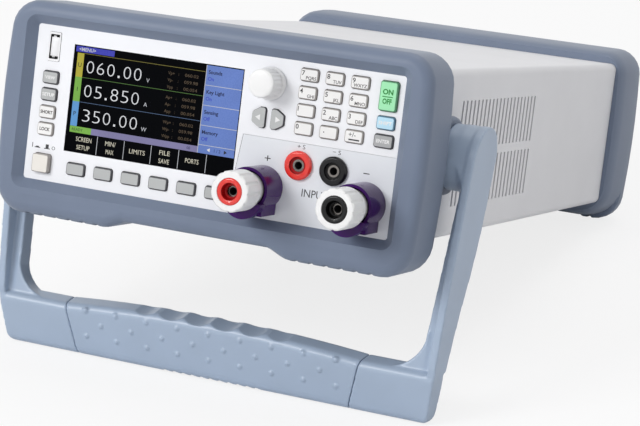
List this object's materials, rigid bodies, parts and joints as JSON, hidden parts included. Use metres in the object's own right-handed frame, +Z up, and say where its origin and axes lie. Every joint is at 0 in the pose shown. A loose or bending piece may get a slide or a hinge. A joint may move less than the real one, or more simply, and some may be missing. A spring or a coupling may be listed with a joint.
{
  "type": "dc electronic load",
  "caption": "Bench dc electronic load with rubber end bumpers, colour screen, keypad, encoder knob, screw-down load terminals and a swing handle that props it up.",
  "frame": {"origin": "middle of the footprint of the whole object, on the floor it stands on", "axes": "+X to the right seen from the front, +Y to the rear, +Z up; the case is tipped back on its handle and rear feet"},
  "size_m": [0.2632, 0.4376, 0.1904],
  "materials": {
    "bumper": "soft satin",
    "panel": "satin",
    "plate": "satin",
    "window": "gloss",
    "module": "satin",
    "usb": "satin",
    "board": "satin",
    "jack_red": "gloss",
    "jack_black": "gloss",
    "contact": "plated",
    "shroud": "gloss",
    "cover": "fine texture",
    "base": "plain",
    "rear": "fine texture",
    "black": "satin",
    "steel": "plain",
    "sink": "extruded",
    "handle": "satin",
    "knob": "satin",
    "washer": "plated",
    "key_grey": "satin",
    "key_white": "satin",
    "key_green": "satin",
    "key_blue": "satin"
  },
  "bodies": {
    "chassis": {"front_bumper": "bumper", "front_panel": "panel", "terminal_plate": "plate", "display_window": "window", "lcd_module": "module", "usb_socket": "usb", "front_board": "board", "plus_sense_jack": "jack_red", "minus_sense_jack": "jack_black", "terminal_contacts": "contact", "terminal_shrouds": "shroud", "top_cover": "cover", "base_chassis": "base", "rear_panel": "rear", "inlet": "black", "rear_bumper": "bumper", "handle_pivots": "steel", "main_board": "board", "heatsink": "sink", "fan_frame": "black", "screws": "steel"},
    "fan": {"fan_rotor": "black"},
    "handle": {"left_arm": "handle", "right_arm": "handle", "handle_grip": "handle"},
    "encoder": {"encoder_knob": "knob"},
    "plus_nut_washer": {"plus_washer": "washer"},
    "minus_nut_washer": {"minus_washer": "washer"},
    "plus_grip": {"plus_knob": "knob", "plus_cap": "jack_red"},
    "minus_grip": {"minus_knob": "knob", "minus_cap": "jack_black"},
    "soft_key_1_cap": {"soft_key_1": "key_grey"},
    "soft_key_2_cap": {"soft_key_2": "key_grey"},
    "soft_key_3_cap": {"soft_key_3": "key_grey"},
    "soft_key_4_cap": {"soft_key_4": "key_grey"},
    "soft_key_5_cap": {"soft_key_5": "key_grey"},
    "soft_key_6_cap": {"soft_key_6": "key_grey"},
    "key_7_cap": {"key_7": "key_white"},
    "key_4_cap": {"key_4": "key_white"},
    "key_1_cap": {"key_1": "key_white"},
    "key_0_cap": {"key_0": "key_white"},
    "key_8_cap": {"key_8": "key_white"},
    "key_5_cap": {"key_5": "key_white"},
    "key_2_cap": {"key_2": "key_white"},
    "key_point_cap": {"key_point": "key_white"},
    "key_9_cap": {"key_9": "key_white"},
    "key_6_cap": {"key_6": "key_white"},
    "key_3_cap": {"key_3": "key_white"},
    "key_sign_cap": {"key_sign": "key_white"},
    "display_key_cap": {"display_key": "key_grey"},
    "setup_key_cap": {"setup_key": "key_grey"},
    "short_key_cap": {"short_key": "key_white"},
    "lock_key_cap": {"lock_key": "key_white"},
    "power_button_cap": {"power_button": "key_white"},
    "left_key_cap": {"left_key": "key_grey"},
    "right_key_cap": {"right_key": "key_grey"},
    "on_off_key_cap": {"on_off_key": "key_green"},
    "shift_key_cap": {"shift_key": "key_blue"},
    "enter_key_cap": {"enter_key": "key_grey"}
  },
  "joints": [
    {"name": "handle_swing", "type": "hinge", "parent": "chassis", "child": "handle", "pos_m": [0, -0.1268, 0.13015], "axis": [-1, 0, 0], "range_deg": [-55, 227]},
    {"name": "encoder_turn", "type": "hinge", "parent": "chassis", "child": "encoder", "pos_m": [0.0312, -0.1673, 0.16638], "axis": [0, -0.9753, 0.2207], "continuous": true},
    {"name": "fan_spin", "type": "hinge", "parent": "chassis", "child": "fan", "pos_m": [-0.048, 0.16807, 0.0626], "axis": [0, 0.9753, -0.2207], "continuous": true},
    {"name": "plus_washer_slide", "type": "slide", "parent": "chassis", "child": "plus_nut_washer", "axis": [0, -0.9753, 0.2207], "range_m": [0, 0.006]},
    {"name": "plus_knob_turn", "type": "hinge", "parent": "plus_nut_washer", "child": "plus_grip", "pos_m": [0.033, -0.20309, 0.12148], "axis": [0, -0.9753, 0.2207], "range_deg": [0, 1440]},
    {"name": "minus_washer_slide", "type": "slide", "parent": "chassis", "child": "minus_nut_washer", "axis": [0, -0.9753, 0.2207], "range_m": [0, 0.006]},
    {"name": "minus_knob_turn", "type": "hinge", "parent": "minus_nut_washer", "child": "minus_grip", "pos_m": [0.088, -0.20309, 0.12148], "axis": [0, -0.9753, 0.2207], "range_deg": [0, 1440]},
    {"name": "soft_key_1_press", "type": "slide", "parent": "chassis", "child": "soft_key_1_cap", "axis": [0, 0.9753, -0.2207], "range_m": [0, 0.001], "stiffness_N_per_m": 400},
    {"name": "soft_key_2_press", "type": "slide", "parent": "chassis", "child": "soft_key_2_cap", "axis": [0, 0.9753, -0.2207], "range_m": [0, 0.001], "stiffness_N_per_m": 400},
    {"name": "soft_key_3_press", "type": "slide", "parent": "chassis", "child": "soft_key_3_cap", "axis": [0, 0.9753, -0.2207], "range_m": [0, 0.001], "stiffness_N_per_m": 400},
    {"name": "soft_key_4_press", "type": "slide", "parent": "chassis", "child": "soft_key_4_cap", "axis": [0, 0.9753, -0.2207], "range_m": [0, 0.001], "stiffness_N_per_m": 400},
    {"name": "soft_key_5_press", "type": "slide", "parent": "chassis", "child": "soft_key_5_cap", "axis": [0, 0.9753, -0.2207], "range_m": [0, 0.001], "stiffness_N_per_m": 400},
    {"name": "soft_key_6_press", "type": "slide", "parent": "chassis", "child": "soft_key_6_cap", "axis": [0, 0.9753, -0.2207], "range_m": [0, 0.001], "stiffness_N_per_m": 400},
    {"name": "key_7_press", "type": "slide", "parent": "chassis", "child": "key_7_cap", "axis": [0, 0.9753, -0.2207], "range_m": [0, 0.001], "stiffness_N_per_m": 400},
    {"name": "key_4_press", "type": "slide", "parent": "chassis", "child": "key_4_cap", "axis": [0, 0.9753, -0.2207], "range_m": [0, 0.001], "stiffness_N_per_m": 400},
    {"name": "key_1_press", "type": "slide", "parent": "chassis", "child": "key_1_cap", "axis": [0, 0.9753, -0.2207], "range_m": [0, 0.001], "stiffness_N_per_m": 400},
    {"name": "key_0_press", "type": "slide", "parent": "chassis", "child": "key_0_cap", "axis": [0, 0.9753, -0.2207], "range_m": [0, 0.001], "stiffness_N_per_m": 400},
    {"name": "key_8_press", "type": "slide", "parent": "chassis", "child": "key_8_cap", "axis": [0, 0.9753, -0.2207], "range_m": [0, 0.001], "stiffness_N_per_m": 400},
    {"name": "key_5_press", "type": "slide", "parent": "chassis", "child": "key_5_cap", "axis": [0, 0.9753, -0.2207], "range_m": [0, 0.001], "stiffness_N_per_m": 400},
    {"name": "key_2_press", "type": "slide", "parent": "chassis", "child": "key_2_cap", "axis": [0, 0.9753, -0.2207], "range_m": [0, 0.001], "stiffness_N_per_m": 400},
    {"name": "key_point_press", "type": "slide", "parent": "chassis", "child": "key_point_cap", "axis": [0, 0.9753, -0.2207], "range_m": [0, 0.001], "stiffness_N_per_m": 400},
    {"name": "key_9_press", "type": "slide", "parent": "chassis", "child": "key_9_cap", "axis": [0, 0.9753, -0.2207], "range_m": [0, 0.001], "stiffness_N_per_m": 400},
    {"name": "key_6_press", "type": "slide", "parent": "chassis", "child": "key_6_cap", "axis": [0, 0.9753, -0.2207], "range_m": [0, 0.001], "stiffness_N_per_m": 400},
    {"name": "key_3_press", "type": "slide", "parent": "chassis", "child": "key_3_cap", "axis": [0, 0.9753, -0.2207], "range_m": [0, 0.001], "stiffness_N_per_m": 400},
    {"name": "key_sign_press", "type": "slide", "parent": "chassis", "child": "key_sign_cap", "axis": [0, 0.9753, -0.2207], "range_m": [0, 0.001], "stiffness_N_per_m": 400},
    {"name": "display_key_press", "type": "slide", "parent": "chassis", "child": "display_key_cap", "axis": [0, 0.9753, -0.2207], "range_m": [0, 0.001], "stiffness_N_per_m": 400},
    {"name": "setup_key_press", "type": "slide", "parent": "chassis", "child": "setup_key_cap", "axis": [0, 0.9753, -0.2207], "range_m": [0, 0.001], "stiffness_N_per_m": 400},
    {"name": "short_key_press", "type": "slide", "parent": "chassis", "child": "short_key_cap", "axis": [0, 0.9753, -0.2207], "range_m": [0, 0.001], "stiffness_N_per_m": 400},
    {"name": "lock_key_press", "type": "slide", "parent": "chassis", "child": "lock_key_cap", "axis": [0, 0.9753, -0.2207], "range_m": [0, 0.001], "stiffness_N_per_m": 400},
    {"name": "power_button_press", "type": "slide", "parent": "chassis", "child": "power_button_cap", "axis": [0, 0.9753, -0.2207], "range_m": [0, 0.0025], "stiffness_N_per_m": 400},
    {"name": "left_key_press", "type": "slide", "parent": "chassis", "child": "left_key_cap", "axis": [0, 0.9753, -0.2207], "range_m": [0, 0.001], "stiffness_N_per_m": 400},
    {"name": "right_key_press", "type": "slide", "parent": "chassis", "child": "right_key_cap", "axis": [0, 0.9753, -0.2207], "range_m": [0, 0.001], "stiffness_N_per_m": 400},
    {"name": "on_off_key_press", "type": "slide", "parent": "chassis", "child": "on_off_key_cap", "axis": [0, 0.9753, -0.2207], "range_m": [0, 0.001], "stiffness_N_per_m": 400},
    {"name": "shift_key_press", "type": "slide", "parent": "chassis", "child": "shift_key_cap", "axis": [0, 0.9753, -0.2207], "range_m": [0, 0.001], "stiffness_N_per_m": 400},
    {"name": "enter_key_press", "type": "slide", "parent": "chassis", "child": "enter_key_cap", "axis": [0, 0.9753, -0.2207], "range_m": [0, 0.001], "stiffness_N_per_m": 400}
  ],
  "couplings": [
    {"joint": "plus_knob_turn", "follows": "plus_washer_slide", "rad_per_m": 4188.8},
    {"joint": "minus_knob_turn", "follows": "minus_washer_slide", "rad_per_m": 4188.8}
  ]
}
